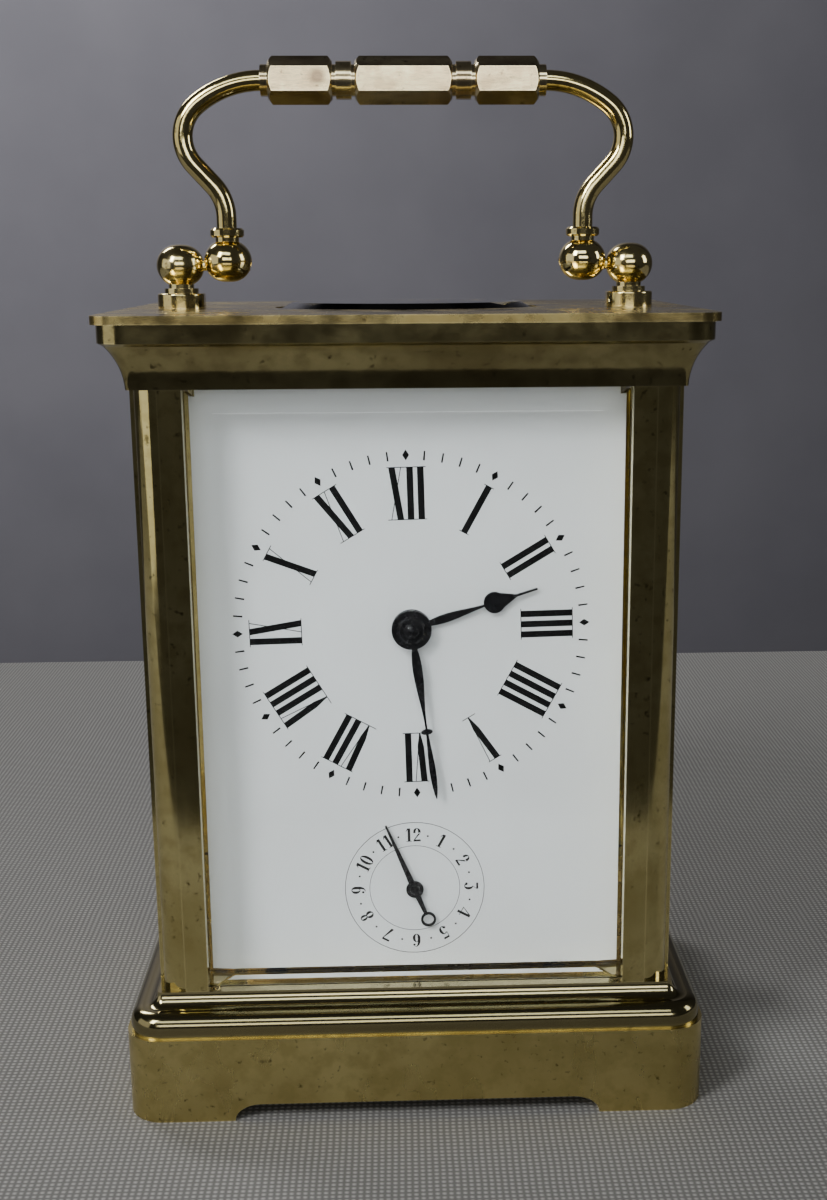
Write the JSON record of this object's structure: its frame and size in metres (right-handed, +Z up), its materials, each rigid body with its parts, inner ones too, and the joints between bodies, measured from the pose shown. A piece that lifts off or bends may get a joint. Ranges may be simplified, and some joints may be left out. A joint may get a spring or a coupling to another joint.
{
  "type": "carriage clock",
  "caption": "Glazed brass travelling clock with moulded case, swinging handle, rear door, white dial, alarm dial and an open gear movement with a platform escapement.",
  "frame": {"origin": "middle of the base, on the surface that the clock stands on", "axes": "+Z up, +X to the right and +Y to the back as seen from the dial side"},
  "size_m": [0.095, 0.076, 0.1691],
  "materials": {
    "case_brass": "polished and lacquered, softly worn",
    "movement_brass": "satin",
    "steel": "satin",
    "blued_steel": "blued, nearly black",
    "glass": "clear, bevelled",
    "enamel": "white vitreous enamel, glossy",
    "bell_metal": "polished bell metal"
  },
  "bodies": {
    "case": {"base_moulding": "case_brass", "base_plate": "case_brass", "case_screws": "steel", "pillar_front_left": "case_brass", "pillar_front_right": "case_brass", "pillar_rear_left": "case_brass", "pillar_rear_right": "case_brass", "cornice": "case_brass", "top_plate": "case_brass", "top_glass": "glass", "front_glass": "glass", "side_glasses": "glass", "handle_post_left": "case_brass", "handle_post_right": "case_brass", "dial": "enamel", "front_plate": "movement_brass", "back_plate": "movement_brass", "movement_pillars": "movement_brass", "movement_screws": "steel", "click_springs": "steel", "platform": "movement_brass", "escape_cock": "movement_brass", "balance_cock": "movement_brass", "bell": "bell_metal", "bell_post": "movement_brass"},
    "handle": {"handle_arm_left": "case_brass", "handle_arm_right": "case_brass", "handle_grip": "case_brass"},
    "door": {"door_frame": "case_brass", "door_glass": "glass", "door_knob": "case_brass"},
    "centre_arbor": {"centre_wheel": "movement_brass", "cannon_pinion": "movement_brass", "minute_hand": "blued_steel", "hand_collet": "steel"},
    "barrel": {"going_barrel": "movement_brass", "barrel_cover": "movement_brass", "mainspring": "steel"},
    "third_wheel": {"third_wheel": "movement_brass"},
    "contrate_wheel": {"contrate_wheel": "movement_brass"},
    "escape_wheel": {"escape_wheel": "movement_brass"},
    "minute_wheel": {"minute_wheel": "movement_brass"},
    "hour_pipe": {"hour_wheel": "movement_brass", "hour_hand": "blued_steel"},
    "alarm_idler": {"alarm_idler": "movement_brass"},
    "alarm_wheel": {"alarm_wheel": "movement_brass"},
    "alarm_setting": {"alarm_arbor": "steel", "alarm_hand": "blued_steel"},
    "winding": {"winding_arbor": "steel", "ratchet_wheel": "steel"},
    "click": {"click": "steel"},
    "pallets": {"pallet_lever": "steel"},
    "balance": {"balance_wheel": "movement_brass", "hairspring": "steel"},
    "regulator": {"regulator_index": "steel"},
    "alarm_barrel": {"alarm_barrel": "movement_brass"},
    "alarm_winding": {"alarm_winding_arbor": "steel"},
    "alarm_click": {"alarm_click": "steel"},
    "alarm_scape": {"alarm_scape_wheel": "movement_brass"},
    "hammer": {"hammer": "steel"}
  },
  "joints": [
    {"name": "handle_swing", "type": "hinge", "parent": "case", "child": "handle", "pos_m": [0, 0, 0.1361], "axis": [1, 0, 0], "range_deg": [-94, 94]},
    {"name": "door_swing", "type": "hinge", "parent": "case", "child": "door", "pos_m": [0.0322, 0.0314, 0.0694], "axis": [0, 0, -1], "range_deg": [0, 95]},
    {"name": "centre_spin", "type": "hinge", "parent": "case", "child": "centre_arbor", "pos_m": [0, -0.004, 0.0796], "axis": [0, 1, 0], "continuous": true},
    {"name": "barrel_spin", "type": "hinge", "parent": "case", "child": "barrel", "pos_m": [0.01101, -0.004, 0.06536], "axis": [0, 1, 0], "continuous": true, "deforming": ["mainspring"]},
    {"name": "third_spin", "type": "hinge", "parent": "case", "child": "third_wheel", "pos_m": [-0.01189, -0.004, 0.08532], "axis": [0, 1, 0], "continuous": true},
    {"name": "contrate_spin", "type": "hinge", "parent": "case", "child": "contrate_wheel", "pos_m": [-0.00799, -0.004, 0.09401], "axis": [0, 1, 0], "continuous": true},
    {"name": "escape_spin", "type": "hinge", "parent": "case", "child": "escape_wheel", "pos_m": [-0.008, -0.00477, 0.107], "axis": [0, 0, -1], "continuous": true},
    {"name": "minute_wheel_spin", "type": "hinge", "parent": "case", "child": "minute_wheel", "pos_m": [0.00605, -0.02, 0.08565], "axis": [0, 1, 0], "continuous": true},
    {"name": "hour_spin", "type": "hinge", "parent": "case", "child": "hour_pipe", "pos_m": [0, -0.022, 0.0796], "axis": [0, 1, 0], "continuous": true},
    {"name": "idler_spin", "type": "hinge", "parent": "case", "child": "alarm_idler", "pos_m": [0, -0.021, 0.05735], "axis": [0, 1, 0], "continuous": true},
    {"name": "alarm_wheel_spin", "type": "hinge", "parent": "case", "child": "alarm_wheel", "pos_m": [0, -0.021, 0.0351], "axis": [0, 1, 0], "continuous": true},
    {"name": "alarm_setting_spin", "type": "hinge", "parent": "case", "child": "alarm_setting", "pos_m": [0, 0, 0.0351], "axis": [0, 1, 0], "continuous": true},
    {"name": "winding_spin", "type": "hinge", "parent": "case", "child": "winding", "pos_m": [0.01101, 0.012, 0.06536], "axis": [0, 1, 0], "continuous": true},
    {"name": "click_lift", "type": "hinge", "parent": "case", "child": "click", "pos_m": [0.00381, 0.0115, 0.0714], "axis": [0, -1, 0], "range_deg": [0, 8], "stiffness_Nm_per_rad": 0.00002},
    {"name": "pallet_rock", "type": "hinge", "parent": "case", "child": "pallets", "pos_m": [-0.0033, -0.00477, 0.107], "axis": [0, 0, 1], "range_deg": [-5, 5]},
    {"name": "balance_swing", "type": "hinge", "parent": "case", "child": "balance", "pos_m": [0.0023, -0.00477, 0.11], "axis": [0, 0, 1], "range_deg": [-135, 135], "stiffness_Nm_per_rad": 0.0000025, "deforming": ["hairspring"]},
    {"name": "regulator_turn", "type": "hinge", "parent": "case", "child": "regulator", "pos_m": [0.0023, -0.00477, 0.1145], "axis": [0, 0, 1], "range_deg": [-25, 25]},
    {"name": "alarm_barrel_spin", "type": "hinge", "parent": "case", "child": "alarm_barrel", "pos_m": [-0.016, -0.01, 0.054], "axis": [0, 1, 0], "continuous": true},
    {"name": "alarm_scape_spin", "type": "hinge", "parent": "case", "child": "alarm_scape", "pos_m": [-0.011, -0.004, 0.04244], "axis": [0, 1, 0], "continuous": true},
    {"name": "alarm_winding_spin", "type": "hinge", "parent": "case", "child": "alarm_winding", "pos_m": [-0.016, 0.012, 0.054], "axis": [0, 1, 0], "continuous": true},
    {"name": "alarm_click_lift", "type": "hinge", "parent": "case", "child": "alarm_click", "pos_m": [-0.02228, 0.0115, 0.05927], "axis": [0, -1, 0], "range_deg": [0, 8], "stiffness_Nm_per_rad": 0.00002},
    {"name": "hammer_swing", "type": "hinge", "parent": "case", "child": "hammer", "pos_m": [-0.008, 0, 0.0285], "axis": [0, -1, 0], "range_deg": [-12, 0], "stiffness_Nm_per_rad": 0.004}
  ],
  "couplings": [
    {"joint": "barrel_spin", "follows": "centre_spin", "ratio": -0.125},
    {"joint": "third_spin", "follows": "centre_spin", "ratio": -10},
    {"joint": "contrate_spin", "follows": "centre_spin", "ratio": 75},
    {"joint": "escape_spin", "follows": "centre_spin", "ratio": 600},
    {"joint": "minute_wheel_spin", "follows": "centre_spin", "ratio": -0.33333},
    {"joint": "hour_spin", "follows": "centre_spin", "ratio": 0.083333},
    {"joint": "idler_spin", "follows": "centre_spin", "ratio": -0.037037},
    {"joint": "alarm_wheel_spin", "follows": "centre_spin", "ratio": 0.083333},
    {"joint": "alarm_scape_spin", "follows": "alarm_barrel_spin", "ratio": -6}
  ]
}
